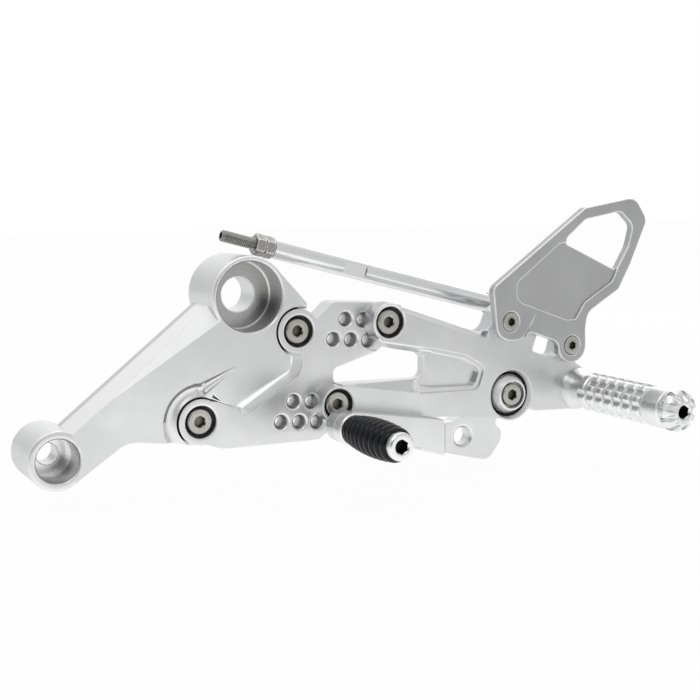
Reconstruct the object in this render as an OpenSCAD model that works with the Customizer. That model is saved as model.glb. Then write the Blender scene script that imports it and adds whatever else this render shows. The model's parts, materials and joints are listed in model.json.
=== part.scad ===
// Rear-set footrest for a motorcycle, gear-shift side.
// Millimetres. +X runs to the rear of the machine, -Y points outboard
// (towards the rider's boot), +Z is up. The origin is on the axis of the
// upper frame bore, on the inboard seating face of its boss.

/* [Frame bracket] */
// Inboard seat to outboard face of the frame bosses
boss_depth = 33; // [30:0.5:38]
// Outside radius of the upper frame boss
upper_boss_r = 20; // [19:0.25:22]
// Upper frame bore diameter
upper_bore_d = 17.5; // [14:0.1:19]
// Upper counterbore diameter
upper_cbore_d = 34.5; // [32:0.25:35.5]
// Upper counterbore depth
upper_cbore_depth = 16; // [12:0.5:19]
// Outside radius of the lower frame boss
lower_boss_r = 14.2; // [13.8:0.1:15.5]
// Lower frame bore diameter
lower_bore_d = 10.5; // [8.4:0.1:12.5]
// Lower counterbore diameter
lower_cbore_d = 20.6; // [19:0.2:21.4]
// Lower counterbore depth
lower_cbore_depth = 20; // [16:0.5:22]
// Gap between the seating plane and the back of the arm
arm_relief = 5; // [3:0.5:7]

/* [Adjuster plate] */
// Thickness of the adjuster plate
adjuster_t = 12; // [10:0.5:13]
// Pitch of the adjustment holes along a row
hole_pitch = 10; // [9.8:0.1:10.3]
// Core diameter of the tapped adjustment holes
tap_d = 6.8; // [6.6:0.05:7]
// Rim diameter of the countersink on a tapped hole
tap_rim_d = 8.6; // [8.2:0.1:9]
// Clearance between a lobe and its pocket wall
pocket_gap = 0.6; // [0.5:0.1:1]

/* [Footrest carrier] */
// Thickness of the footrest carrier
carrier_t = 11; // [10:0.5:12]
// Depth of the relief pocket in its face
relief_depth = 4.5; // [3:0.5:6]

/* [Fasteners] */
// Thread size of the adjuster and carrier bolts
bolt_d = 8; // [7.8:0.05:8.1]
// Head diameter of those bolts
bolt_head_d = 13; // [12.5:0.1:13.2]
// Counterbore diameter round a bolt head
head_pocket_d = 16; // [15.6:0.1:16.4]
// Head height
bolt_head_h = 5; // [4.5:0.25:5.5]

/* [Gear lever] */
// Pivot sleeve diameter
sleeve_d = 14; // [13:0.25:15]
// Thickness of the lever
lever_t = 9; // [8:0.5:9.5]
// Toe peg rubber diameter at its belly
rubber_d = 19; // [18:0.5:20]

/* [Foot peg] */
// Diameter over the knurl
peg_d = 21; // [20:0.5:22]
// Length of the peg from the carrier face
peg_len = 86; // [80:1:90]

/* [Heel guard] */
// Thickness of the heel guard
guard_t = 5; // [4:0.5:6]

/* [Shift rod] */
// Rod diameter
rod_d = 10; // [9.5:0.25:10.5]
// Thread of the rod ends
rod_thread_d = 6; // [5.8:0.1:6]

/* [Hidden] */
eps = 0.02;
seat = 0.04;                          // radial play of a plain fit
big = [0, 0];
low = [-97, -72];
ul = [26.1, -18.4];
lo = [-26.6, -59.8];
tilt = -4.5;                          // slope of the hole rows
up_row = [52.4, -13.6];               // first hole, upper group
lo_row = [23, -53.6];                 // first hole, lower group
row_step = [-6.1, -10.4];             // second row, from the first
pivot = [147.2, -58];
peg = [191.2, -57.8];
g1 = [142.9, -18];                    // heel guard screws
g2 = [183.3, -32.9];
toe = [40, -64];
ball = [170, -16.3];
face = -boss_depth;                   // outboard face of the bracket
mid = face + adjuster_t;              // back of the adjuster plate
cf = face - carrier_t;                // outboard face of the carrier
gf = cf - guard_t;                    // outboard face of the guard
lobe_r = 11.5;
pocket_r = lobe_r + pocket_gap;
ledge_r = 13.4;
washer_t = 1;
lf = face + washer_t;                 // outboard face of the lever block
lb = lf + lever_t;                    // inboard face of the lever block
arm_back = cf - 6;                    // lever arm clears the bolts of the carrier
arm_front = arm_back - lever_t;
rod_y = lb + 8;                       // plane of the shift rod
rod_dir = atan2(-42.4, 165);
ur = up_row + 2 * hole_pitch * [cos(tilt), sin(tilt)];
lr = lo_row + 2 * hole_pitch * [cos(tilt), sin(tilt)];
cap_l = 9;                            // foot peg end cap
core_d = rod_thread_d - 0.5;          // inside the rod and its nuts
toe_collar = 7.4;
toe_len = 49.4;                       // collar and rubber

function unit(v) = v / norm(v);
function corner(a, b, c, r, n) =
  r <= 0 ? [b] :
  let (u = unit(a - b), v = unit(c - b), h = acos(u * v) / 2,
       o = b + unit(u + v) * r / sin(h),
       p = b + u * r / tan(h) - o, q = b + v * r / tan(h) - o,
       s = atan2(p[1], p[0]), d = atan2(q[1], q[0]) - s,
       t = d > 180 ? d - 360 : d < -180 ? d + 360 : d)
  [for (i = [0:n]) o + r * [cos(s + t * i / n), sin(s + t * i / n)]];
function smooth(p, n = 5) = let (k = len(p))
  [for (i = [0:k - 1]) let (a = p[(i + k - 1) % k], b = p[i], c = p[(i + 1) % k])
    each corner([a[0], a[1]], [b[0], b[1]], [c[0], c[1]], b[2], n)];
function hole(o, i, j) = let (v = [i * hole_pitch, 0] + j * row_step)
  o + [v[0] * cos(tilt) - v[1] * sin(tilt), v[0] * sin(tilt) + v[1] * cos(tilt)];

// Flat shape in X-Z, from its back plane out to its front plane
module slab(back, front) translate([0, back, 0]) rotate([90, 0, 0])
  linear_extrude(back - front) children();
module disc(c, back, front, d) translate([c[0], back, c[1]]) rotate([90, 0, 0])
  cylinder(h = back - front, d = d, $fn = 64);
module cone(c, back, front, d1, d2) translate([c[0], back, c[1]]) rotate([90, 0, 0])
  cylinder(h = back - front, d1 = d1, d2 = d2, $fn = 64);
// Profile of radius against distance outboard, turned about an axis in Y
module turned(c, back, p) translate([c[0], back, c[1]]) rotate([90, 0, 0])
  rotate_extrude($fn = 64) polygon(p);
module hexhole(c, back, front, af) translate([c[0], back, c[1]]) rotate([90, 0, 0])
  rotate(30) cylinder(h = back - front, d = af / cos(30), $fn = 6);
// Planar bevel on the front edge from a to b, cutting to the left of a-b
module bevel(a, b, front, w, d) let (l = norm(b - a), t = atan2(b[1] - a[1], b[0] - a[0]))
  translate([a[0], front, a[1]]) rotate([0, -t, 0]) rotate([90, 0, 90])
  linear_extrude(l) polygon([[-1, -w / d], [-1, w + sign(w)], [d, w + sign(w)], [d, w]]);

// One recessed bolt with its shank, head and socket
module cap_bolt(c, seat_y, tip_y) {
  difference() {
    union() {
      disc(c, tip_y, seat_y - eps, bolt_d);
      turned(c, seat_y, [[0, 0], [bolt_head_d / 2, 0], [bolt_head_d / 2, bolt_head_h - 0.7],
        [bolt_head_d / 2 - 0.7, bolt_head_h], [0, bolt_head_h]]);
    }
    hexhole(c, seat_y - bolt_head_h + 3, seat_y - bolt_head_h - 1, 5);
    cone(c, seat_y - bolt_head_h + 0.5, seat_y - bolt_head_h - eps, 5, 6.4);
  }
}

// Bracket that bolts to the motorcycle frame
module frame_bracket() {
  color([0.8, 0.81, 0.82]) difference() {
    union() {
      difference() {
        slab(-arm_relief, face) polygon(smooth([[-15, -0.5, 0], [0, 0, 0], [14.2, 13.2, 0],
          [35.5, -9.7, 0], [31, -17, 0], [22, -25.2, 0], [21.9, -37.2, 2], [-8, -53.3, 2.5],
          [-16.2, -50.3, 0], [-20.2, -47, 0], [-26.6, -59.8, 0], [-28.9, -70.8, 0],
          [-64, -66.2, 16], [-89.4, -83.2, 0], [-97, -72, 0], [-91.2, -61.2, 0]]));
        // long bevel on the upper edge of the arm
        bevel([-95, -60.3], [-12, -8.8], face, 12, 12);
        // pockets for the two lobes of the adjuster plate
        disc(ul, mid, face - 1, 2 * pocket_r);
        disc(lo, mid, face - 1, 2 * pocket_r);
        slab(mid, face - 1) polygon([[31.5, 0], [60, 0], [60, -30], [27, -30]]);
        // scooped relief round the lower lobe, running out to a point
        intersection() {
          turned(lo, face, [for (i = [0:8]) [15.6 + 3.9 * cos(180 + 22.5 * i),
            1 + 3.9 * sin(180 + 22.5 * i)]]);
          slab(face + 5, face - 5) polygon([[-22.5, -30], [-26.6, -59.8], [-26.6, -90],
            [-60, -90], [-60, -30]]);
        }
        translate([-6.8, face - 0.35, -33.1]) rotate([0, 119, 180.9])
          cylinder(h = 23.7, r1 = 0.3, r2 = 3.66, $fn = 48);
      }
      disc(ul, -arm_relief, mid, 2 * ledge_r);
      disc(lo, -arm_relief, mid, 2 * ledge_r);
      turned(big, 0, [[0, 0], [upper_boss_r - 0.8, 0], [upper_boss_r, 0.8],
        [upper_boss_r, boss_depth - 0.8], [upper_boss_r - 0.8, boss_depth], [0, boss_depth]]);
      turned(low, 0, [[0, 0], [lower_boss_r - 0.8, 0], [lower_boss_r, 0.8],
        [lower_boss_r, boss_depth - 0.8], [lower_boss_r - 0.8, boss_depth], [0, boss_depth]]);
    }
    disc(big, 1, face - 1, upper_bore_d);
    disc(big, face + upper_cbore_depth, face - 1, upper_cbore_d);
    cone(big, face + 0.9, face - eps, upper_cbore_d, upper_cbore_d + 1.8);
    disc(low, 1, face - 1, lower_bore_d);
    disc(low, face + lower_cbore_depth, face - 1, lower_cbore_d);
    cone(low, face + 0.9, face - eps, lower_cbore_d, lower_cbore_d + 1.8);
    disc(ul, 0, mid - 1, bolt_d + 2 * seat);
    disc(lo, 0, mid - 1, bolt_d + 2 * seat);
  }
}

// Plate that moves the footrest: two lobes in the bracket, two rows of holes each end
module adjuster_plate() {
  color([0.78, 0.79, 0.8]) difference() {
    union() {
      slab(mid, face) polygon(smooth([[26.1, -18.4, 0], [33.6, -10.6, 0], [36.2, -12.6, 1.2],
        [45.2, -4.2, 5], [70.3, -5.8, 0], [82, -7, 8], [81.5, -22.5, 6], [70.5, -31.2, 4],
        [45.3, -38.4, 3.2], [45.3, -45.4, 3], [52.5, -47, 5], [53, -64, 5], [37, -74.4, 4],
        [-15, -74.2, 14], [-30.2, -68.9, 0], [-26.6, -59.8, 0], [-23.4, -49.6, 0],
        [-16.9, -50.6, 0], [-9.2, -53.8, 0], [-5.6, -54, 0.8], [-5.1, -56.8, 0.8],
        [-1.1, -57.2, 1.5], [26, -40.3, 3.4], [28, -34.2, 5], [26.4, -29, 0]]));
      disc(ul, mid, face, 2 * lobe_r);
      disc(lo, mid, face, 2 * lobe_r);
    }
    for (c = [ul, lo]) {
      disc(c, mid + 1, face - 1, bolt_d + 0.6);
      disc(c, face + bolt_head_h + 1.5, face - 1, head_pocket_d);
      cone(c, face + 0.6, face - eps, head_pocket_d, head_pocket_d + 1.2);
    }
    for (i = [0:2]) for (j = [0:1]) for (o = [up_row, lo_row]) {
      if (i < 2 || j > 0) {
        disc(hole(o, i, j), mid + 1, face - 1, tap_d);
        cone(hole(o, i, j), face + (tap_rim_d - tap_d) / 2, face - eps, tap_d, tap_rim_d);
      }
    }
    for (c = [ur, lr]) disc(c, mid + 1, face - 1, bolt_d + 2 * seat);
  }
}

// Carrier for the footrest, gear lever pivot and heel guard
module peg_carrier() {
  color([0.82, 0.83, 0.84]) difference() {
    union() {
      slab(face, cf) polygon(smooth([
        [72.3 + 9.9 * sin(18.3), -15.2 + 9.9 * cos(18.3), 0],
        [131.2, -24.9, 7], [136.2, -13, 5], [140.5, -9.2, 6], [151, -11, 6],
        [163.9, -25.6, 1], [160.4, -35.1, 1.5],
        [176.2, -40.3, 4], [178.8, -30, 5], [184, -24.8, 5], [191.6, -29.5, 4],
        [188.6, -42.6, 4], [197.2, -47.8, 0], [200, -57.8, 0], [190.5, -69.3, 0],
        [163.5, -68.4, 0], [147.2, -58, 0], [147.2, -71.2, 0], [141.3, -70, 0],
        [50, -61.2, 0], [42.9, -55.2, 0], [45, -45.2, 0],
        [92.4, -45.8, 3], [94.6, -43, 2.2], [94.6, -35, 2.2], [92.2, -32.3, 3],
        [73, -28.7, 5], [65, -23.5, 0], [72.3, -15.2, 0]]));
      disc(ur, face, cf, 20);
      disc(lr, face, cf, 19);
      disc(pivot, face, cf, 28.4);
      disc(peg, face, cf, 24);
    }
    // relief pocket with a thin web left behind it
    slab(cf + relief_depth, cf - 1) polygon(smooth([[90, -31.6, 0], [97, -32.4, 0],
      [117, -37.2, 3], [127.6, -43, 3], [124.4, -51.6, 3], [97, -50.6, 0], [90, -49, 0]]));
    slab(cf + 1.2, cf - 1) polygon(smooth([[90, -29.5, 0], [97, -30, 0],
      [118.5, -35, 4], [130.2, -42, 4], [126.2, -53.8, 4], [97, -53.2, 0], [90, -53, 0]]));
    // broad bevels that lead into the pocket
    bevel([88, -53], [52, -47.2], cf, -9, 5.4);
    bevel([66, -24.7], [97.4, -30.3], cf, -5.2, 4.4);
    // bevel along the upper edge
    bevel([131, -27], [78, -9.4], cf, -3, 3);
    for (c = [ur, lr]) {
      disc(c, face + 1, cf - 1, bolt_d + 0.6);
      disc(c, cf + bolt_head_h + 1.5, cf - 1, head_pocket_d);
      cone(c, cf + 0.6, cf - eps, head_pocket_d, head_pocket_d + 1.2);
    }
    disc(pivot, face + 1, cf - 1, sleeve_d + 2 * seat);
    disc(pivot, cf + 5, cf - 1, 23);
    cone(pivot, cf + 4, cf - eps, 23, 26.8);
    disc(peg, face + 1, cf - 1, bolt_d + 2 * seat);
    disc(peg, face + 1, face - 5.5, 14);
    for (c = [g1, g2]) disc(c, face + 1, cf - 1, 6 + 2 * seat);
  }
}

// Heel guard plate
module heel_guard() {
  color([0.77, 0.78, 0.8]) difference() {
    slab(cf, gf) polygon(smooth([[133.6, -19, 0], [131.3, 0.4, 5], [190.4, 41.6, 6],
      [224.6, 47.2, 8], [233.4, 34.5, 6], [222.4, 10, 10], [214.6, -3.6, 5],
      [193.6, -15.6, 8], [192.4, -24, 8], [193.2, -41.8, 8.8], [175, -42.8, 8.8],
      [174.2, -30.7, 5], [154, -23.6, 4], [151.8, -28.4, 9], [133.6, -27.8, 9]]));
    // window
    slab(cf + 1, gf - 1) polygon(smooth([[176.2, 23.6, 2.5], [190.8, 35.2, 5],
      [214.6, 39.4, 5], [223.6, 31.6, 5], [220.6, 20, 10], [212.8, 7.2, 2.5]]));
    // shallow panel
    slab(gf + 1.2, gf - 1) polygon(smooth([[147, -5.6, 3], [146.6, 2.4, 4], [173.4, 22.2, 0],
      [182, 24, 0], [208, 14, 0], [213.2, 7.4, 0], [210, 1.2, 5], [191.4, -9.6, 5],
      [185.6, -18.6, 3], [179, -18.4, 3], [150, -8.2, 3]]));
    bevel([133.6, -22], [131.3, 0.4], gf, 1.5, 1.5);
    bevel([131.3, 0.4], [190.4, 41.6], gf, 1.5, 1.5);
    for (c = [g1, g2]) {
      disc(c, cf + 1, gf - 1, 6.3);
      cone(c, gf + 2.6, gf - eps, 6.3, 11.2);
    }
  }
}

// Countersunk screw that holds the heel guard
module guard_screw(c) {
  color([0.62, 0.61, 0.58]) difference() {
    union() {
      disc(c, face + 1.5, gf + 2, 6);
      turned(c, gf + 2.4, [[0, 0], [3.02, 0], [5.1, 2.1], [5.1, 2.6], [0, 2.9]]);
    }
    hexhole(c, gf + 2.2, gf - 2, 4);
  }
}

// Machined footrest with ring grooves crossed by flutes
module foot_peg() {
  r = peg_d / 2;
  k0 = 13;
  n = 7;
  e = peg_len - cap_l;
  pitch = (e - k0 - 12.2) / n;
  color([0.84, 0.85, 0.86]) difference() {
    union() {
      turned(peg, cf, concat([[0, 0], [r + 0.9, 0], [r + 0.9, 1], [r - 0.9, 6], [r - 1.4, 11],
        [r - 1.1, k0 - 1]], [for (i = [0:n - 1]) each [[r - 0.7, k0 + i * pitch],
          [r, k0 + i * pitch + 0.9], [r, k0 + i * pitch + 4.4], [r - 0.7, k0 + i * pitch + 5.3],
          [r - 1.7, k0 + i * pitch + 5.6], [r - 1.7, k0 + i * pitch + 7.1]]],
        [[r - 0.5, k0 + n * pitch], [r - 0.2, k0 + n * pitch + 1], [r - 0.2, e - 0.6],
        [r - 0.8, e], [0, e]]));
    }
    for (i = [0:8]) translate([peg[0], cf, peg[1]]) rotate([0, 20 + 40 * i, 0])
      translate([r + 1.9, -k0 + 1, 0]) rotate([90, 0, 0])
      cylinder(h = n * pitch - 0.5, r = 3.1, $fn = 24);
    disc(peg, cf + 1, cf - 16, bolt_d - 1.2);
    disc(peg, cf - e + 8, cf - e - 1, 10.1);
  }
}

// Fluted end cap of the footrest
module foot_peg_cap() {
  r = peg_d / 2;
  e = cf - (peg_len - cap_l);
  color([0.84, 0.85, 0.86]) difference() {
    union() {
      turned(peg, e, [[0, 0], [r - 0.8, 0], [r, 0.8], [r, 4.6], [r - 0.9, 6.6], [r - 2.6, 8.2],
        [r - 4.4, cap_l], [0, cap_l]]);
      disc(peg, e + 7.5, e - eps, 10);
    }
    for (i = [0:8]) translate([peg[0], e, peg[1]]) rotate([0, 40 * i, 0])
      translate([r - 0.4, -2.2, 0]) rotate([90, 0, -24]) cylinder(h = 12, r = 1.7, $fn = 24);
    hexhole(peg, e - 1, e - cap_l - 1, 6);
    cone(peg, e - cap_l + 0.9, e - cap_l - eps, 6, 8);
  }
}

// Bolt that draws the footrest on to the carrier from behind
module foot_peg_bolt() {
  color([0.62, 0.61, 0.58]) difference() {
    union() {
      disc(peg, face - 5, cf - 15, bolt_d - 1.3);
      disc(peg, face - 0.5, face - 5.5, 13);
    }
    hexhole(peg, face, face - 3.5, 6);
  }
}

// Flanged sleeve that the lever turns on
module pivot_sleeve() {
  color([0.86, 0.87, 0.88]) difference() {
    turned(pivot, lb + washer_t, [[0, 0], [sleeve_d / 2, 0],
      [sleeve_d / 2, lb + washer_t - cf - 5], [10.9, lb + washer_t - cf - 5],
      [10.9, lb + washer_t - cf - 3.8], [8.3, lb + washer_t - cf + 1.4],
      [0, lb + washer_t - cf + 1.4]]);
    disc(pivot, lb + 3, cf - 3, 6 + 2 * seat);
    disc(pivot, cf + 3.6, cf - 3, 14.6);
  }
}

// Screw through the sleeve
module pivot_screw() {
  color([0.62, 0.61, 0.58]) difference() {
    union() {
      disc(pivot, lb + 7, cf + 3.5, 6);
      turned(pivot, cf + 3.6, [[0, 0], [6.1, 0], [6.1, 4.2], [5.5, 4.8], [0, 4.8]]);
    }
    hexhole(pivot, cf + 1.6, cf - 3, 5);
    cone(pivot, cf - 0.7, cf - 1.2 - eps, 5, 6.2);
  }
}

// Thrust washer between carrier and lever
module thrust_washer() {
  color([0.25, 0.25, 0.26]) difference() {
    disc(pivot, lf, face, 22);
    disc(pivot, lf + 1, face - 1, sleeve_d + 2 * seat);
  }
}

// End washer that keeps the lever on its sleeve
module end_washer() {
  color([0.66, 0.66, 0.66]) difference() {
    disc(pivot, lb + washer_t + 1.5, lb + washer_t, 20);
    disc(pivot, lb + 5, lb - 1, 6 + 2 * seat);
  }
}

// Nut on the inboard end of the pivot screw
module pivot_nut() {
  color([0.66, 0.65, 0.62]) difference() {
    hexhole(pivot, lb + washer_t + 6.5, lb + washer_t + 1.5, 10);
    disc(pivot, lb + 9, lb, 6 + 2 * seat);
  }
}

// Gear lever: block behind the carrier, step, arm in front of it
module gear_lever() {
  color([0.83, 0.84, 0.85]) difference() {
    union() {
      slab(lb, lf) polygon(smooth([[136.8, -63.2, 0], [137.2, -51.6, 0], [163.3, -13.4, 0],
        [170, -16.3, 0], [176.6, -18.9, 0], [158.9, -58, 0], [155.7, -66.4, 0],
        [143.8, -75, 3], [149.8, -80, 4], [148.6, -86.4, 6], [141.2, -95.6, 6],
        [132, -93.9, 8], [97, -84.6, 0], [97, -70.6, 2], [118, -72.4, 6]]));
      disc(pivot, lb, lf, 25);
      disc(ball, lb, lf, 15.4);
      // step that carries the arm forward under the carrier
      intersection() {
        slab(lb, arm_front) polygon([[80, -70.2], [113, -70.9], [113, -88.4], [80, -79.3]]);
        translate([0, 0, -100]) linear_extrude(40) polygon([[113.5, lf - eps], [113.5, lf + 1],
          [97, lf + 1], [82, arm_back + 1], [82, arm_front], [95.5, arm_front]]);
      }
      slab(arm_back, arm_front) polygon([[toe[0] + 1.2, toe[1] + 7.5], [95.5, -64.8],
        [95.5, -81.2], [74.5, -76.7], [toe[0] - 1.1, toe[1] - 7.5]]);
      disc(toe, arm_back, arm_front, 16);
    }
    disc(pivot, lb + 1, lf - 1, sleeve_d + 2 * seat);
    disc(ball, lb + 1, lf - 1, 6 + 2 * seat);
    disc(toe, arm_back + 1, arm_front - 1, 8 + 2 * seat);
    for (h = [[[60.4, -68.2], arm_back, arm_front], [[124.2, -80.9], lb, lf]]) {
      disc(h[0], h[1] + 1, h[2] - 1, 9.6);
      cone(h[0], h[2] + 1.5, h[2] - eps, 9.6, 12.6);
      cone(h[0], h[1] + eps, h[1] - 1, 11.6, 9.6);
    }
  }
}

// Aluminium core of the toe peg with its collar
module toe_peg_core() {
  color([0.84, 0.85, 0.86]) difference() {
    turned(toe, arm_front, [[0, 0], [7.6, 0], [8.2, 0.6], [8.2, toe_collar - 0.6],
      [7.6, toe_collar], [5, toe_collar], [5, toe_len], [0, toe_len]]);
    disc(toe, arm_front + 1, arm_front - toe_len - 1, 8 + 2 * seat);
  }
}

// Ribbed rubber sleeve, barrel shaped
function belly(u) = rubber_d / 2 - 6.9 * pow(u - 0.55, 2);
module toe_peg_rubber() {
  n = 9;
  p = (toe_len - toe_collar) / n;
  color([0.05, 0.05, 0.06]) difference() {
    turned(toe, arm_front - toe_collar, concat([[0, 0]], [for (i = [0:n - 1])
      let (m = belly((i + 0.5) / n)) each [[belly(i / n) - 1.4, i * p], [m - 0.35, i * p + 1],
        [m, i * p + p / 2], [m - 0.35, (i + 1) * p - 1]]], [[belly(1) - 1.4, n * p], [0, n * p]]));
    disc(toe, arm_front, arm_front - toe_len - 9, 10 + 2 * seat);
  }
}

// Socket screw that closes the toe peg
module toe_peg_screw() {
  e = arm_front - toe_len;
  color([0.85, 0.86, 0.87]) difference() {
    union() {
      disc(toe, arm_back + 0.5, e - eps, 8);
      turned(toe, e, [[0, 0], [6.7, 0], [6.7, 2.6], [5.7, 3.6], [0, 3.6]]);
    }
    hexhole(toe, e + 2, e - 5, 6);
    cone(toe, e - 2.8, e - 3.6 - eps, 6, 7.8);
  }
}

// Everything on the shift rod is laid along local X, from the ball
module on_rod() translate([ball[0], rod_y, ball[1]]) rotate([0, -rod_dir, 0]) children();
module bar(a, b, d) translate([a, 0, 0]) rotate([0, 90, 0]) cylinder(h = b - a, d = d, $fn = 48);
module hexbar(a, b, af) translate([a, 0, 0]) rotate([0, 90, 0]) cylinder(h = b - a, d = af / cos(30), $fn = 6);

rod_a = -155;                         // front end of the rod
rod_b = -22;                          // rear end of the rod
stud_tip = -183.6;

module shift_rod() {
  color([0.87, 0.88, 0.89]) on_rod() difference() {
    bar(rod_a, rod_b, rod_d);
    bar(rod_a - 1, rod_a + 14, core_d + 2 * seat);
    bar(rod_b - 14, rod_b + 1, core_d + 2 * seat);
    for (s = [-1, 1]) translate([-114.5, s * 5.2 - 1.2, -6]) cube([13, 2.4, 12]);
  }
}

module rod_stud() {
  color([0.62, 0.6, 0.56]) on_rod() difference() {
    translate([stud_tip, 0, 0]) rotate([0, 90, 0]) rotate_extrude($fn = 48)
      polygon([[0, 0], [rod_thread_d / 2 - 0.7, 0], [rod_thread_d / 2, 0.8],
        [rod_thread_d / 2, 17.7], [core_d / 2, 17.7], [core_d / 2, rod_a + 12 - stud_tip],
        [0, rod_a + 12 - stud_tip]]);
    hexbar(stud_tip - 1, stud_tip + 3, 3);
  }
}

module lock_nut(a) {
  color([0.62, 0.6, 0.56]) on_rod() intersection() {
    difference() {
      hexbar(a, a + 5, 10);
      bar(a - 1, a + 6, core_d + 2 * seat);
    }
    translate([a, 0, 0]) rotate([0, 90, 0]) rotate_extrude($fn = 48)
      polygon([[0, 0], [5.1, 0], [5.9, 0.8], [5.9, 4.2], [5.1, 5], [0, 5]]);
  }
}

// Rod end: threaded shank, eye and its swivel ball
module rod_end() {
  color([0.6, 0.59, 0.56]) on_rod() difference() {
    union() {
      translate([0, 3.4, 0]) rotate([90, 0, 0]) cylinder(h = 6.8, r = 8, $fn = 48);
      bar(rod_b - 12, -5.6, core_d);
      bar(-13, -6, 8.4);
    }
    rotate([90, 0, 0]) translate([0, 0, -5]) cylinder(h = 10, r = 5.6, $fn = 48);
  }
}

module rod_end_nut() {
  color([0.62, 0.6, 0.56]) on_rod() difference() {
    hexbar(rod_b + 0.1, rod_b + 5.1, 10);
    bar(rod_b - 1, rod_b + 7, core_d + 2 * seat);
  }
}

module swivel_ball() {
  color([0.75, 0.75, 0.76]) on_rod() difference() {
    translate([0, 4.5, 0]) rotate([90, 0, 0]) rotate_extrude($fn = 48)
      polygon([[3.04, 0], [4, 0], [4.6, 1], [5.3, 2.6], [5.54, 4.5], [5.3, 6.4], [4.6, 8], [4, 9],
        [3.04, 9]]);
  }
}

// Spacer and bolt that hold the rod end on the lever
module rod_end_spacer() {
  color([0.66, 0.66, 0.66]) difference() {
    disc(ball, rod_y - 4.5, lb, 8);
    disc(ball, rod_y, lb - 1, 6 + 2 * seat);
  }
}

module rod_end_bolt() {
  color([0.62, 0.61, 0.58]) difference() {
    union() {
      disc(ball, rod_y + 4.5, lf + 0.5, 6);
      disc(ball, rod_y + 10, rod_y + 4.5, 10);
    }
    hexhole(ball, rod_y + 11, rod_y + 7.5, 5);
  }
}

module adjuster_bolt_upper() { color([0.6, 0.59, 0.56]) cap_bolt(ul, face + bolt_head_h + 1.5, -arm_relief - 1); }
module adjuster_bolt_lower() { color([0.6, 0.59, 0.56]) cap_bolt(lo, face + bolt_head_h + 1.5, -arm_relief - 1); }
module carrier_bolt_upper() { color([0.6, 0.59, 0.56]) cap_bolt(ur, cf + bolt_head_h + 1.5, mid - 1); }
module carrier_bolt_lower() { color([0.6, 0.59, 0.56]) cap_bolt(lr, cf + bolt_head_h + 1.5, mid - 1); }
module guard_screw_front() { guard_screw(g1); }
module guard_screw_rear() { guard_screw(g2); }
module lock_nut_front() { lock_nut(rod_a - 10.4); }
module lock_nut_rear() { lock_nut(rod_a - 5.2); }

frame_bracket();
adjuster_plate();
peg_carrier();
heel_guard();
foot_peg();
foot_peg_cap();
foot_peg_bolt();
adjuster_bolt_upper();
adjuster_bolt_lower();
carrier_bolt_upper();
carrier_bolt_lower();
guard_screw_front();
guard_screw_rear();
pivot_sleeve();
pivot_screw();
thrust_washer();
end_washer();
pivot_nut();
gear_lever();
toe_peg_core();
toe_peg_rubber();
toe_peg_screw();
rod_end_spacer();
rod_end_bolt();
swivel_ball();
shift_rod();
rod_stud();
lock_nut_front();
lock_nut_rear();
rod_end();
rod_end_nut();
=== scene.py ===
"""Looks of the rear-set footrest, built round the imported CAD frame. Metres, row frame.

Places that are shared with the CAD are given in millimetres, and MM turns them into metres.
"""
import json
import math

import bmesh
import bpy
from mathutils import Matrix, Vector
from mathutils.bvhtree import BVHTree

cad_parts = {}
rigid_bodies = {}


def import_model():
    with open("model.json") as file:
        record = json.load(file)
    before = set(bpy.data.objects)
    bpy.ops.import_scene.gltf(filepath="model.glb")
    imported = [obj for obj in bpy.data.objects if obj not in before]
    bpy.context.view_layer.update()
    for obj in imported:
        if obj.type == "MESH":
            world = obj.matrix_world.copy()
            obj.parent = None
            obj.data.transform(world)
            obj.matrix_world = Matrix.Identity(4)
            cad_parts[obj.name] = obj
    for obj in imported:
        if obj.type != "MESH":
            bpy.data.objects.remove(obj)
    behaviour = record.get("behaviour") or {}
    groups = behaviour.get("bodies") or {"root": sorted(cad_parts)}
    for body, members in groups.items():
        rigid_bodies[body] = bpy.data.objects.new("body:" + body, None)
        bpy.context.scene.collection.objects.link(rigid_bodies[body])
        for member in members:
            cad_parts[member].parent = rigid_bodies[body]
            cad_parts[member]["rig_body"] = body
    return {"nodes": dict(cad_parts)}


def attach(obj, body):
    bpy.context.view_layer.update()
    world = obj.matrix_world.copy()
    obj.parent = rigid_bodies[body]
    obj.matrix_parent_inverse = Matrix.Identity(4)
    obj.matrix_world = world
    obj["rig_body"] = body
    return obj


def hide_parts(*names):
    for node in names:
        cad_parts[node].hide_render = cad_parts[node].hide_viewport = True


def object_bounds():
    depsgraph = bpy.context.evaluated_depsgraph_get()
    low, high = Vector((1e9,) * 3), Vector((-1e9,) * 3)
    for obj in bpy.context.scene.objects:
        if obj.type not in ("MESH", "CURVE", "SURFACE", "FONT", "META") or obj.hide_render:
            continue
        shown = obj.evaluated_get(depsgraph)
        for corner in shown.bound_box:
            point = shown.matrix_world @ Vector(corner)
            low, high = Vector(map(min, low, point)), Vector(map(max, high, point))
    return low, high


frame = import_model()
cad_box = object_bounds()
NODES = frame["nodes"]
BODY = {o.name: o["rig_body"] for o in NODES.values()}
scene = bpy.context.scene
scene.view_settings.view_transform = "Standard"
MM = 0.001

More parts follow.
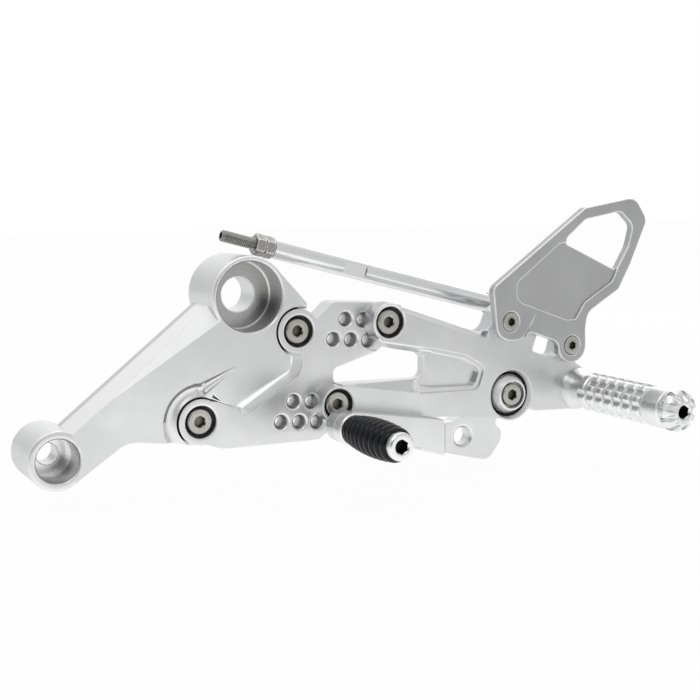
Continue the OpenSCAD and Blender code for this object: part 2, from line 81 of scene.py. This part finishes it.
# Shared with the CAD, in millimetres; a place in the plane of the plates is (x, z)
FACE, CF, ARM_FRONT = -33.0, -44.0, -59.0       # y of the outboard faces: bracket, carrier, lever arm
PLATE = 12.0                                    # thickness of the adjuster plate
SEAT = 6.5                                      # depth of the pockets round the cap heads
COLLAR, TOE_LEN, RUBBER_D = 7.4, 49.4, 19.0     # toe peg: its collar, its length and the rubber on it
BIG, LOW = (0.0, 0.0), (-97.0, -72.0)           # frame bores
UL, LO = (26.1, -18.4), (-26.6, -59.8)          # lobes of the adjuster plate, upper and lower
PIVOT, PEG = (147.2, -58.0), (191.2, -57.8)
G1, G2 = (142.9, -18.0), (183.3, -32.9)         # screws of the heel guard, front and rear
TOE, BALL = (40.0, -64.0), (170.0, -16.3)
FREE_HOLE = (60.4, -68.2)                       # other seat of the toe peg, in the lever's arm
ROD_Y, ROD_DIR = -15.0, math.degrees(math.atan2(-42.4, 165.0))
# adjustment holes: first hole of each group, step to its second row, pitch along a row, tilt
UP_ROW, LO_ROW, STEP, PITCH, TILT = (52.4, -13.6), (23.0, -53.6), (-6.1, -10.4), 10.0, -4.5


def hole(first, i, j):
    """Place of adjustment hole i of row j in a group."""
    x, z = i * PITCH + j * STEP[0], j * STEP[1]
    c, s = math.cos(math.radians(TILT)), math.sin(math.radians(TILT))
    return (first[0] + x * c - z * s, first[1] + x * s + z * c)


UR, LR = hole(UP_ROW, 2, 0), hole(LO_ROW, 2, 0)     # carrier bolts


# ---------------------------------------------------------------- materials

class Nodes:
    """A node tree, with short calls for the nodes used here."""

    def __init__(self, tree, coordinate):
        self.t = tree
        self.co = self.new("ShaderNodeTexCoord").outputs[coordinate]

    def new(self, kind, **props):
        n = self.t.nodes.new(kind)
        for k, v in props.items():
            setattr(n, k, v)
        return n

    def link(self, a, b):
        """Joins an output to an input, or sets the input where a is a plain value."""
        if hasattr(a, "node"):
            self.t.links.new(a, b)
        else:
            b.default_value = a

    def remap(self, fac, lo, hi, a=0.0, b=1.0, smooth=False):
        n = self.new("ShaderNodeMapRange")
        n.interpolation_type = "SMOOTHSTEP" if smooth else "LINEAR"
        for k, v in (("From Min", lo), ("From Max", hi), ("To Min", a), ("To Max", b)):
            n.inputs[k].default_value = v
        self.link(fac, n.inputs["Value"])
        return n.outputs["Result"]

    def math(self, op, a, b=0.0):
        n = self.new("ShaderNodeMath", operation=op)
        self.link(a, n.inputs[0])
        self.link(b, n.inputs[1])
        return n.outputs[0]

    def vector(self, op, a, b=(0, 0, 0)):
        """A vector maths node: its number for a length, distance or dot product, else its vector."""
        n = self.new("ShaderNodeVectorMath", operation=op)
        self.link(a, n.inputs[0])
        n.inputs[1].default_value = b
        return n.outputs["Value" if op in ("LENGTH", "DISTANCE", "DOT_PRODUCT") else "Vector"]

    def part(self, axis):
        n = self.new("ShaderNodeSeparateXYZ")
        self.link(self.co, n.inputs[0])
        return n.outputs[axis]

    def light(self, kind, strength):
        """A white emission or background."""
        n = self.new(kind)
        n.inputs["Color"].default_value = (1, 1, 1, 1)
        self.link(strength, n.inputs["Strength"])
        return n.outputs[0]

    def layer(self, fac, below, above):
        n = self.new("ShaderNodeMixShader")
        for k, v in enumerate((fac, below, above)):
            self.link(v, n.inputs[k])
        return n.outputs[0]


class Graph(Nodes):
    """A new material, round its Principled BSDF."""
    BUMP = 0.0002               # height that a bump of strength 1 stands for, in metres

    def __init__(self, name):
        self.mat = bpy.data.materials.new(name)
        self.mat.use_nodes = True
        super().__init__(self.mat.node_tree, "Object")
        self.p = self.t.nodes["Principled BSDF"]

    def scaled(self, sx, sy, sz, turn=(0, 0, 0)):
        m = self.new("ShaderNodeMapping")
        m.inputs["Scale"].default_value = (sx, sy, sz)
        m.inputs["Rotation"].default_value = turn
        self.link(self.co, m.inputs["Vector"])
        return m.outputs["Vector"]

    def noise(self, scale, detail=2.0, rough=0.5, vec=None):
        n = self.new("ShaderNodeTexNoise")
        n.inputs["Scale"].default_value = scale
        n.inputs["Detail"].default_value = detail
        n.inputs["Roughness"].default_value = rough
        self.link(self.co if vec is None else vec, n.inputs["Vector"])
        return n.outputs["Fac"]

    def mix(self, fac, a, b):
        n = self.new("ShaderNodeMix", data_type="RGBA")
        self.link(fac, n.inputs[0])
        self.link(a if hasattr(a, "node") else (*a, 1), n.inputs[6])
        self.link(b if hasattr(b, "node") else (*b, 1), n.inputs[7])
        return n.outputs[2]

    def radius(self, c):
        """Distance in metres from the axis in Y through (x, z) = c millimetres."""
        off = self.vector("SUBTRACT", self.co, (c[0] * MM, 0, c[1] * MM))
        return self.vector("LENGTH", self.vector("MULTIPLY", off, (1, 0, 1)))

    def tint(self, fac, colour):
        """Lays a colour over the base tone, by fac."""
        base = self.p.inputs["Base Color"]
        self.link(self.mix(fac, base.links[0].from_socket, colour), base)

    def bump(self, height, strength):
        """Adds a height to those that the material already has."""
        b = self.new("ShaderNodeBump")
        b.inputs["Strength"].default_value = strength
        b.inputs["Distance"].default_value = self.BUMP
        self.link(height, b.inputs["Height"])
        if self.p.inputs["Normal"].links:
            self.link(self.p.inputs["Normal"].links[0].from_socket, b.inputs["Normal"])
        self.link(b.outputs["Normal"], self.p.inputs["Normal"])


def metal(name, dark, light, rough, grain=2600, grain_depth=0.05, spread=0.06):
    """Satin metal: fine blasted grain, cloudy roughness and a slight tone drift."""
    g = Graph(name)
    g.p.inputs["Metallic"].default_value = 1.0
    fine = g.noise(grain, 2, 0.6)
    tone = g.math("ADD", g.math("MULTIPLY", g.noise(38, 3, 0.55), 0.7), g.math("MULTIPLY", fine, 0.3))
    g.link(g.mix(g.remap(tone, 0.35, 0.65), dark, light), g.p.inputs["Base Color"])
    haze = g.math("ADD", g.math("MULTIPLY", g.noise(70, 4, 0.6), 0.6), g.math("MULTIPLY", fine, 0.4))
    g.link(g.remap(haze, 0.3, 0.7, rough - spread, rough + spread), g.p.inputs["Roughness"])
    g.bump(fine, grain_depth)
    return g


def matte(name, drift, dark, light, gloss, rough, skin, depth):
    """Black rubber, plastic or the near-black of painted shade: a slight tone drift, uneven gloss and a fine
    skin.
    """
    g = Graph(name)
    g.link(g.mix(g.noise(drift, 3), dark, light), g.p.inputs["Base Color"])
    g.link(g.remap(g.noise(*gloss), 0.3, 0.7, *rough), g.p.inputs["Roughness"])
    g.bump(g.noise(*skin), depth)
    return g


def milled(g, degrees):
    """Faint straight tool marks along the part, as a fly cutter leaves them."""
    v = g.scaled(14, 14, 900, turn=(0, math.radians(degrees), 0))
    g.bump(g.noise(1.0, 3, 0.6, v), 0.05)


def ring_noise(g, c, pitch):
    v = g.new("ShaderNodeCombineXYZ")
    g.link(g.radius(c), v.inputs[0])
    return g.noise(pitch, 2, 0.6, v.outputs[0])


def rings(g, c, inner, outer, depth, pitch):
    """Concentric turning marks between two radii, in millimetres, round an axis in Y."""
    r, blur = g.radius(c), 0.0002
    w = g.math("MULTIPLY", g.remap(r, inner * MM - blur, inner * MM + blur, 0, 1),
               g.remap(r, outer * MM - blur, outer * MM + blur, 1, 0))
    g.bump(g.math("MULTIPLY", ring_noise(g, c, pitch), w), depth)


MAT = {}
for key, *look in (
        # darkest tone, for the groove's outer wall: painted shade
        ("cut", "groove_wall_painted_shade", (0.26, 0.26, 0.262), (0.36, 0.36, 0.362), 0.34),
        # pale tone for the arm's upper bevel: painted highlight
        ("bevel", "satin_aluminium_bevel_painted_highlight", (0.83, 0.833, 0.838), (0.87, 0.873, 0.878), 0.50),
        ("guard", "satin_aluminium_guard", (0.48, 0.483, 0.488), (0.55, 0.553, 0.558), 0.36, 2200),
        # near-white tone for chamfers and bright faces: painted highlight
        ("edge", "edge_painted_highlight", (0.93, 0.935, 0.94), (0.97, 0.972, 0.975), 0.46, 3200, 0.03, 0.05),
        ("stainless", "stainless", (0.34, 0.335, 0.315), (0.44, 0.43, 0.405), 0.27, 2400, 0.04),
        # dark tone for the walls of screw sockets: painted shade
        ("socket", "socket_painted_shade", (0.10, 0.098, 0.085), (0.22, 0.215, 0.19), 0.36, 2000, 0.06, 0.08)):
    MAT[key] = metal(*look).mat

g = metal("satin_aluminium", (0.74, 0.744, 0.748), (0.83, 0.834, 0.838), 0.34)
milled(g, 4)
MAT["satin"] = g.mat

g = metal("satin_aluminium_bracket", (0.74, 0.745, 0.75), (0.83, 0.835, 0.84), 0.33)
milled(g, -34)
MAT["bracket"] = g.mat

# turned bores, darker as painted shade, with a painted highlight in a thin bright line where the floor meets
# the wall
g = metal("turned_bore_painted_shade", (0.45, 0.45, 0.445), (0.51, 0.51, 0.505), 0.27, 1400, 0.01, 0.015)
rings(g, BIG, 0.0, 16.9, 0.16, 1100)
rings(g, LOW, 0.0, 10.0, 0.06, 1100)
g.bump(g.noise(1.0, 2, 0.6, g.scaled(5, 1200, 5)), 0.05)
g.tint(g.math("MULTIPLY", g.remap(g.part("Y"), (FACE + 15.3) * MM, (FACE + 15.6) * MM),
              g.remap(g.radius(BIG), 16.5 * MM, 16.7 * MM)), (0.96, 0.96, 0.96))
MAT["bore"] = g.mat

# upper flank of the arm, near white as painted highlight, with a greyer strip along its back edge
g = metal("satin_aluminium_flank_painted_highlight", (0.95, 0.953, 0.96), (0.985, 0.987, 0.99), 0.40)
milled(g, -38)
g.tint(g.remap(g.part("Y"), -11.2 * MM, -10.2 * MM), (0.68, 0.68, 0.685))
MAT["flank"] = g.mat

# carrier, with painted shade, near black, in the deep gap round the pivot sleeve
g = metal("satin_aluminium_carrier", (0.72, 0.724, 0.728), (0.81, 0.814, 0.818), 0.34)
milled(g, 8)
g.tint(g.math("MULTIPLY", g.remap(g.radius(PIVOT), 12.1 * MM, 12.4 * MM, 1, 0),
              g.remap(g.part("Y"), (CF + 2.2) * MM, (CF + 2.8) * MM)), (0.012, 0.012, 0.012))
MAT["carrier"] = g.mat

# tapped holes: near white inside as painted light, and greyer near the mouth as painted shade
g = metal("cut_thread", (0.90, 0.905, 0.91), (0.97, 0.972, 0.975), 0.34, 3200, 0.03, 0.05)
g.tint(g.remap(g.part("Y"), (FACE + 4.5) * MM, (FACE + 8.5) * MM, 1.0, 0.0, smooth=True), (0.42, 0.42, 0.41))
MAT["thread"] = g.mat

g = metal("bright_aluminium", (0.83, 0.834, 0.838), (0.90, 0.903, 0.906), 0.30, 3000, 0.03, 0.05)
rings(g, PEG, 0.0, 14.0, 0.12, 2600)
MAT["bright"] = g.mat

# rod, with drawing lines along it
g = metal("drawn_aluminium", (0.80, 0.805, 0.81), (0.87, 0.875, 0.88), 0.24, 2800, 0.015, 0.03)
v = g.scaled(22, 1700, 1700, turn=(0, math.radians(-ROD_DIR), 0))
g.bump(g.noise(1.0, 2, 0.6, v), 0.006)
MAT["drawn"] = g.mat

g = matte("black_rubber", 60, (0.0015, 0.002, 0.004), (0.004, 0.005, 0.009),
          (160, 3, 0.6), (0.17, 0.27), (900, 3, 0.6), 0.08)
g.p.inputs["Specular IOR Level"].default_value = 0.26
MAT["rubber"] = g.mat
MAT["nylon"] = matte("black_nylon", 90, (0.02, 0.02, 0.022), (0.045, 0.045, 0.048),
                     (300, 3), (0.4, 0.6), (1500, 2), 0.1).mat
# near-black for gaps, socket hollows and the rings in the head pockets: painted shade
MAT["shade_black"] = matte("painted_shade_black", 140, (0.004, 0.004, 0.0035), (0.012, 0.0115, 0.010),
                     (500, 3), (0.38, 0.55), (1800, 2), 0.1).mat


def turned_stainless(name, c, outer):
    """Screw head with turning rings in its tone and its surface."""
    g = metal(name, (0.51, 0.50, 0.465), (0.58, 0.567, 0.53), 0.26, 2400, 0.015, 0.03)
    shade = g.remap(ring_noise(g, c, 620), 0.42, 0.60, 0.0, 1.0)
    g.tint(g.math("MULTIPLY", shade, 0.55), (0.33, 0.32, 0.29))
    rings(g, c, 2.4, outer, 0.9, 1300)
    return g.mat


# ---------------------------------------------------------------- mesh tools

WELD = 2e-6                     # vertices closer than this are one, in metres
FLAT_ANGLE = 0.6                # faces within this many degrees are joined
BREAK_ANGLE = 24.0              # convex edges sharper than this get a chamfer
SHARP_ANGLE = 32.0              # edges sharper than this stay sharp in the shading


def finish_mesh(bm, name, mats, body, sharp, weighted=False, folded=(), soft=None):
    """The mesh as an object on its body; folded faces are turned over and shaded flat."""
    for f in bm.faces:
        f.smooth = True
    for f in folded:
        f.normal_flip()
        f.smooth = False
    for e in bm.edges:
        e.smooth = not (len(e.link_faces) == 2 and e.calc_face_angle(0.0) > math.radians(sharp))
        if soft and not e.smooth and all(soft(v.co / MM) for v in e.verts):
            e.smooth = True
    me = bpy.data.meshes.new(name)
    bm.to_mesh(me)
    bm.free()
    for m in mats:
        me.materials.append(m)
    o = bpy.data.objects.new(name, me)
    scene.collection.objects.link(o)
    if weighted:
        w = o.modifiers.new("weighted", "WEIGHTED_NORMAL")
        w.keep_sharp = True
        w.weight = 90
    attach(o, body)
    return o


def dressed(node, mats, width, paint=None, tight=(), edge=1, soft=None):
    """A node's own surface with its flat faces joined and its outer edges broken by a chamfer.

    width: of the chamfer, in millimetres. tight: (test of a place, width) pairs for edges whose
    chamfer differs. edge: number of the chamfer's material. paint: gives the number of a face's
    material from its middle and normal, or None. soft: test of where sharp edges are shaded smooth.
    """
    src = NODES[node]
    skin = BVHTree.FromPolygons([v.co for v in src.data.vertices],
                                [p.vertices[:] for p in src.data.polygons])
    bm = bmesh.new()
    bm.from_mesh(src.data)
    bmesh.ops.remove_doubles(bm, verts=bm.verts, dist=WELD)
    bmesh.ops.dissolve_limit(bm, angle_limit=math.radians(FLAT_ANGLE), verts=bm.verts, edges=bm.edges)
    for f in bm.faces:
        f.material_index = 0
    groups = {width: []}
    for e in bm.edges:
        if len(e.link_faces) == 2 and e.is_convex and e.calc_face_angle(0.0) > math.radians(BREAK_ANGLE):
            w = width
            for test, other in tight:
                if all(test(v.co / MM) for v in e.verts):
                    w = other
            groups.setdefault(w, []).append(e)
    for w, edges in sorted(groups.items(), reverse=True):
        edges = [e for e in edges if e.is_valid]
        if w > 0 and edges:
            bmesh.ops.bevel(bm, geom=edges, offset=w * MM, offset_type="OFFSET", segments=2, profile=0.5,
                            affect="EDGES", clamp_overlap=False, material=min(edge, len(mats) - 1),
                            loop_slide=True)
    bmesh.ops.triangulate(bm, faces=[f for f in bm.faces if len(f.verts) > 4])
    folded = []
    for f in bm.faces:
        normal = skin.find_nearest(f.calc_center_median())[1]
        if normal is not None and f.normal.dot(normal) < -0.2:
            folded.append(f)
    if paint:
        for f in bm.faces:
            k = paint(f.calc_center_median() / MM, f.normal)
            if k is not None:
                f.material_index = k
    o = finish_mesh(bm, node + "_dressed", mats, BODY[node], SHARP_ANGLE, True, folded, soft)
    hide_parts(node)
    return o


def grid(rows, name, mat, body, sharp):
    """A surface through rows of points, each row closed on itself."""
    bm = bmesh.new()
    vs = [[bm.verts.new(p) for p in row] for row in rows]
    for a, b in zip(vs, vs[1:]):
        n = len(a)
        for i in range(n):
            bm.faces.new((a[i], a[(i + 1) % n], b[(i + 1) % n], b[i]))
    bmesh.ops.recalc_face_normals(bm, faces=bm.faces)
    return finish_mesh(bm, name, [mat], body, sharp)


def circle(c, r, y, count):
    """Row of points round the axis in Y through c, in millimetres."""
    turns = (2 * math.pi * i / count for i in range(count))
    return [Vector((c[0] + r * math.cos(a), y, c[1] + r * math.sin(a))) * MM for a in turns]


def thread_rows(place, start, length, r_root, r_crest, pitch, count, taper=0.0):
    """Rows of a helical thread along local X, in millimetres.

    taper: how fast the crests rise from the root at the start, 0 where they don't.
    """
    rows = []
    n = int(length / pitch * 8)
    for k in range(n + 1):
        x = start + length * k / n
        row = []
        for i in range(count):
            t = (x / pitch - i / count) % 1.0
            w = min(1.0, max(0.0, abs(2 * t - 1) * 1.5 - 0.25))
            r = r_root + (r_crest - r_root) * w
            if taper:
                r = min(r, r_root - 0.1 + (x - start) * taper)
            a = 2 * math.pi * i / count
            row.append(place((x, r * math.cos(a), r * math.sin(a))))
        rows.append(row)
    return rows


def on_rod(p):
    """A place on the rod, with local X along it from the ball."""
    a = math.radians(ROD_DIR)
    x, y, z = p
    return Vector((BALL[0] + x * math.cos(a) - z * math.sin(a), ROD_Y + y,
                   BALL[1] + x * math.sin(a) + z * math.cos(a))) * MM


def in_hole(c, back):
    """Places in a hole in Y through c, with local X outboard from its back."""
    return lambda p: Vector((c[0] + p[1], back - p[0], c[1] + p[2])) * MM


# ---------------------------------------------------------------- tests of a place and paints

def in_ring(c, inner, outer):
    return lambda p: inner < math.hypot(p.x - c[0], p.z - c[1]) < outer


def on_line(a, b, reach=0.3):
    u, v = b[0] - a[0], b[1] - a[1]
    n = math.hypot(u, v)
    return lambda p: (abs((p.x - a[0]) * v - (p.z - a[1]) * u) / n < reach
                      and -1 < ((p.x - a[0]) * u + (p.z - a[1]) * v) / n < n + 1)


run_out = on_line((-6.8, -33.1), (-27.5, -44.6), 4.4)
round_lobe = in_ring(LO, 12.4, 21)


def scoop(p):
    """The scooped groove under the bracket's face, with its run-out."""
    return p.y > FACE + 0.06 and (run_out(p) or round_lobe(p)) and p.x < -5 and p.z > -78


PLAIN, EDGE, BORE, BLACK, SHADED_WALL, FLANK, BEVEL = range(7)
BRACKET = [MAT[k] for k in ("bracket", "edge", "bore", "shade_black", "cut", "flank", "bevel")]


def bracket_paint(p, n):
    r_big, r_low = math.hypot(p.x, p.z), math.hypot(p.x - LOW[0], p.z - LOW[1])
    # the bores' inner faces take the bore material, darker as painted shade
    if p.y > FACE + 1.1 and (9.2 < r_big < 17.4 and n.y < 0.5 or 5.6 < r_low < 10.45):
        return BORE
    # painted shade: near black in the gaps round the plate's lobes
    for c, outer in ((UL, 12.62), (LO, 12.3)):
        if in_ring(c, 11.8, outer)(p) and n.y > -0.97:
            return BLACK
    if scoop(p):
        d = Vector((p.x - LO[0], 0, p.z - LO[1])).normalized()
        outer_wall = n.dot(d) < -0.5 if round_lobe(p) and not run_out(p) else n.z < -0.3
        # the groove's outer wall: dark as painted shade above the lobe's centre, plain below it
        if outer_wall and n.y > -0.93:
            return SHADED_WALL if p.z > LO[1] + 1 else PLAIN
        # the rest of the groove: near white, a painted highlight
        return EDGE
    # the arm's faces turned up and to the left, flank and bevel, in paler tones as painted highlight
    if n.x < -0.3 and n.z > 0.45 and -94 < p.x < -14 and r_big > 20.4:
        return FLANK if n.y > -0.3 else BEVEL
    return None


def sleeve_paint(p, n):
    """Painted shade on the sides of the sleeve's flange."""
    return 1 if math.hypot(p.x - PIVOT[0], p.z - PIVOT[1]) > 10.7 and abs(n.y) < 0.5 else None


def socket_paint(c, reach):
    """Walls and floor of a hexagon socket, but not the face round it; these take a dark material as painted
    shade.
    """
    def test(p, n):
        deep = math.hypot(p.x - c[0], p.z - c[1])
        return 1 if deep < reach and (n.y > -0.3 or deep < reach - 0.5) else None
    return test


# ---------------------------------------------------------------- pieces on the CAD's own form

# Most chamfers below take the near-white edge material, a painted highlight.
SATIN = [MAT["satin"], MAT["edge"]]
BRIGHT = [MAT["bright"], MAT["edge"]]

dressed("frame_bracket", BRACKET, 0.45, bracket_paint, soft=scoop, tight=[
    (run_out, 0.0),
    (on_line((21.9, -37.2), (-8, -53.3), 0.5), 1.1), (on_line((22, -25.2), (21.9, -37.2), 0.5), 1.1),
    (in_ring(BIG, 18.0, 18.3), 0.3), (in_ring(BIG, 19.0, 19.4), 0.6), (in_ring(LOW, 13.2, 13.6), 0.75)])
dressed("adjuster_plate", SATIN, 0.45, tight=[
    (in_ring(UL, 11.3, 11.7), 0.6), (in_ring(LO, 11.3, 11.7), 0.6)])
dressed("peg_carrier", [MAT["carrier"], MAT["edge"]], 0.5, tight=[
    (in_ring(PIVOT, 12.9, 14.6), 0.2), (lambda p: 88 < p.x < 93 and -34 < p.z < -28, 0.3),
    (in_ring(UR, 9.8, 10.2), 0.9), (in_ring(LR, 9.3, 9.7), 0.5), (in_ring(LR, 7.9, 8.7), 0.2)])
dressed("heel_guard", [MAT["guard"], MAT["edge"]], 0.65, tight=[
    (in_ring(G1, 5.3, 5.9), 0.3), (in_ring(G2, 5.3, 5.9), 0.3)])
dressed("gear_lever", SATIN, 0.5, tight=[
    (in_ring(FREE_HOLE, 4.0, 6.8), 0.0), (on_line((38.9, -71.5), (74.5, -76.7)), 0.06)])

dressed("foot_peg", BRIGHT, 0.25)
dressed("toe_peg_core", BRIGHT, 0.2)
# the sleeve is near white as painted highlight, and its flange's sides dark as painted shade
dressed("pivot_sleeve", [MAT["edge"], MAT["shade_black"]], 0.3, sleeve_paint, edge=0)
# caps: their hexagon sockets near black, as painted shade
for n, w, c in (("foot_peg_cap", 0.22, PEG), ("toe_peg_screw", 0.25, TOE)):
    dressed(n, [MAT["bright"], MAT["shade_black"]], w, socket_paint(c, 3.5), edge=0)
dressed("shift_rod", [MAT["drawn"]], 0.3)
dressed("rod_end_spacer", [MAT["bright"]], 0.2)

# screws: each socket takes the dark socket material, painted shade
# screws: centre, radius of the turned face, radius of the socket
M8_HEAD, M6_HEAD = (6.2, 2.95), (4.8, 2.35)
for n, c, (face, inside) in (
        ("adjuster_bolt_upper", UL, M8_HEAD), ("adjuster_bolt_lower", LO, M8_HEAD),
        ("carrier_bolt_upper", UR, M8_HEAD), ("carrier_bolt_lower", LR, M8_HEAD),
        ("guard_screw_front", G1, M6_HEAD), ("guard_screw_rear", G2, M6_HEAD),
        ("pivot_screw", PIVOT, (5.8, 2.95)), ("foot_peg_bolt", PEG, (6.2, 3.5))):
    dressed(n, [turned_stainless("stainless_" + n, c, face), MAT["socket"]], 0.22,
            socket_paint(c, inside), edge=0)
for n in ("rod_end_bolt", "pivot_nut", "end_washer", "rod_end", "rod_end_nut", "swivel_ball"):
    dressed(n, [MAT["stainless"]], 0.2)
for n in ("lock_nut_front", "lock_nut_rear"):
    dressed(n, [MAT["stainless"], MAT["edge"]], 0.35)
dressed("thrust_washer", [MAT["nylon"]], 0.15)

# ---------------------------------------------------------------- pieces with a finer form of their own

# Threads: root radius, crest radius, pitch
M6_OUTSIDE, M8_INSIDE = (2.52, 3.0, 1.0), (3.43, 3.08, 1.25)

# Stud with its thread, and a hexagon hollow in its tip that ends in a point
TIP, STUD_LEN, HOLLOW, HOLLOW_R, COUNT = -183.6, 40.6, 3.0, 1.5, 40
rows = thread_rows(on_rod, TIP, STUD_LEN, *M6_OUTSIDE, COUNT, taper=0.9)
for x, size in ((TIP, 1.0), (TIP + HOLLOW, 1.0), (TIP + HOLLOW + 0.4, 0.02)):
    row = []
    for i in range(COUNT):
        a = 2 * math.pi * i / COUNT
        r = HOLLOW_R / math.cos(((a + math.pi / 6) % (math.pi / 3)) - math.pi / 6) * size
        row.append(on_rod((x, r * math.cos(a), r * math.sin(a))))
    rows.insert(0, row)
stud = grid(rows, "rod_stud_threaded", MAT["stainless"], "rod", 30)
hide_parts("rod_stud")

# Threads in the open adjustment holes; the third hole of each first row holds a carrier bolt
open_holes = [hole(first, i, j) for first in (UP_ROW, LO_ROW) for j in (0, 1) for i in range(3) if i < 2 or j]
for k, c in enumerate(open_holes):
    rows = thread_rows(in_hole(c, FACE + PLATE), 0.15, PLATE - 1.0, *M8_INSIDE, 36)
    grid(rows, "hole_thread_%d" % k, MAT["thread"], "footrest", 60)

# Toe rubber: rounded ribs on a barrel-shaped sleeve
RIBS, RIB_ROWS, RIB_DEPTH, CORE_R = 9, 14, 1.4, 5.04
BARREL, WIDEST = 6.9, 0.55                      # how fast it narrows, and where along it is widest
rows = [circle(TOE, CORE_R, ARM_FRONT - COLLAR, 72)]
for q in range(RIBS * RIB_ROWS + 1):
    u = q / (RIBS * RIB_ROWS)
    rib = abs(math.sin(math.pi * u * RIBS)) ** 0.8
    r = RUBBER_D / 2 - BARREL * (u - WIDEST) ** 2 - RIB_DEPTH * (1 - rib) - 0.03
    rows.append(circle(TOE, r, ARM_FRONT - COLLAR - u * (TOE_LEN - COLLAR), 72))
rows.append(circle(TOE, CORE_R, ARM_FRONT - TOE_LEN, 72))
rubber = grid(rows, "toe_rubber", MAT["rubber"], "lever", 50)
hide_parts("toe_peg_rubber")

# Black rings of painted shade at the bottom of the head pockets, round the heads: radius and height of each
# corner
SHADOW_RING = ((6.56, 0.02), (6.56, 2.6), (7.0, 2.8), (7.94, 2.8), (7.94, 0.02))
for k, (c, face) in enumerate(((UL, FACE), (LO, FACE), (UR, CF), (LR, CF))):
    rows = [circle(c, r, face + SEAT - h, 64) for r, h in SHADOW_RING]
    grid(rows, "head_shadow_ring_%d" % k, MAT["shade_black"], "footrest", 40)

# ---------------------------------------------------------------- stage, lights, camera

FLOOR_GAP = 0.0005
bpy.ops.mesh.primitive_plane_add(size=6, location=(0, 0, cad_box[0].z - FLOOR_GAP))
floor = bpy.context.object
floor.name = "floor"
g = Graph("pale_floor")
g.p.inputs["Roughness"].default_value = 0.9
g.p.inputs["Specular IOR Level"].default_value = 0.1
g.link(g.mix(g.noise(9, 2), (0.86, 0.86, 0.86), (0.88, 0.88, 0.88)), g.p.inputs["Base Color"])


def spot(x, y, near, far):
    """Smooth patch of the floor round a place, from one value at its middle to another outside."""
    return g.remap(g.vector("DISTANCE", g.co, (x, y, 0)), 0.12, 0.40, near, far, smooth=True)


# Painted reflection: what the metal mirrors of the floor is a glow, pale, greyer in front to the right,
# lighter close in front.
# The camera sees it nearly white, with a trace of the object's shadow.
ray = g.new("ShaderNodeLightPath").outputs
mirrored = g.math("ADD", spot(0.36, -0.56, 0.48, 0.86), spot(0.03, -0.28, 0.27, 0.0))
base = g.layer(ray["Is Glossy Ray"], g.p.outputs[0], g.light("ShaderNodeEmission", mirrored))
top = g.layer(g.math("MULTIPLY", ray["Is Camera Ray"], 0.95), base, g.light("ShaderNodeEmission", 1.0))
g.link(top, g.t.nodes["Material Output"].inputs["Surface"])
floor.data.materials.append(g.mat)

world = bpy.data.worlds.new("studio")
scene.world = world
world.use_nodes = True
world.node_tree.nodes.clear()
w = Nodes(world.node_tree, "Generated")


def towards(direction, lo, hi, a, b):
    """A smooth patch of the surroundings round a direction."""
    return w.remap(w.vector("DOT_PRODUCT", w.co, Vector(direction).normalized()), lo, hi, a, b, smooth=True)


# pale behind, lighter behind to the right and high in front to the left, darker behind to the
# left, and dim low in front to the left, where a photographer stands
level = w.remap(w.part("Y"), -0.4, 0.6, 0.66, 0.88, smooth=True)
for patch in (((0.5, 0.85, 0.12), 0.70, 0.98, 0.0, 0.16),
              ((-0.6, 0.75, -0.2), 0.55, 0.95, 0.0, -0.20),
              ((-0.42, -0.45, 0.79), 0.86, 0.98, 0.0, 0.30)):
    level = w.math("ADD", level, towards(*patch))
level = w.math("MULTIPLY", level, towards((-0.50, -0.86, 0.04), 0.70, 0.95, 1.0, 0.20))
seen = w.layer(w.new("ShaderNodeLightPath").outputs["Is Camera Ray"],
               w.light("ShaderNodeBackground", level), w.light("ShaderNodeBackground", 1.0))
w.link(seen, w.new("ShaderNodeOutputWorld").inputs["Surface"])

# lamps: name, place, what it points at, size, power
for name, at, target, size, power in (
        ("key", (-0.55, -0.62, 0.95), (0.05, 0, -0.03), (0.45, 0.45), 1.1),
        ("top", (0.15, 0.1, 0.95), (0.07, 0, 0), (0.9, 0.5), 1.2),
        ("rim", (0.75, 0.55, 0.35), (0.1, 0, 0), (0.3, 0.6), 0.7)):
    lamp = bpy.data.lights.new(name, "AREA")
    lamp.shape = "RECTANGLE"
    lamp.size, lamp.size_y = size
    lamp.energy = power
    o = bpy.data.objects.new(name, lamp)
    o.location = at
    o.rotation_mode = "QUATERNION"
    o.rotation_quaternion = (Vector(target) - Vector(at)).to_track_quat("-Z", "Y")
    scene.collection.objects.link(o)

# camera, solved from the round holes of the photo: degrees below the horizon, turn about Z
DOWN, TURN = 7.51, -27.89
cam = bpy.data.cameras.new("camera")
cam.sensor_width = 36.0
cam.lens = 66.86
cam.clip_start, cam.clip_end = 0.01, 20
camera = bpy.data.objects.new("camera", cam)
camera.location = (-0.2526, -0.6138, 0.0572)
camera.rotation_euler = (math.radians(90 - DOWN), 0, math.radians(TURN))
scene.collection.objects.link(camera)
scene.camera = camera
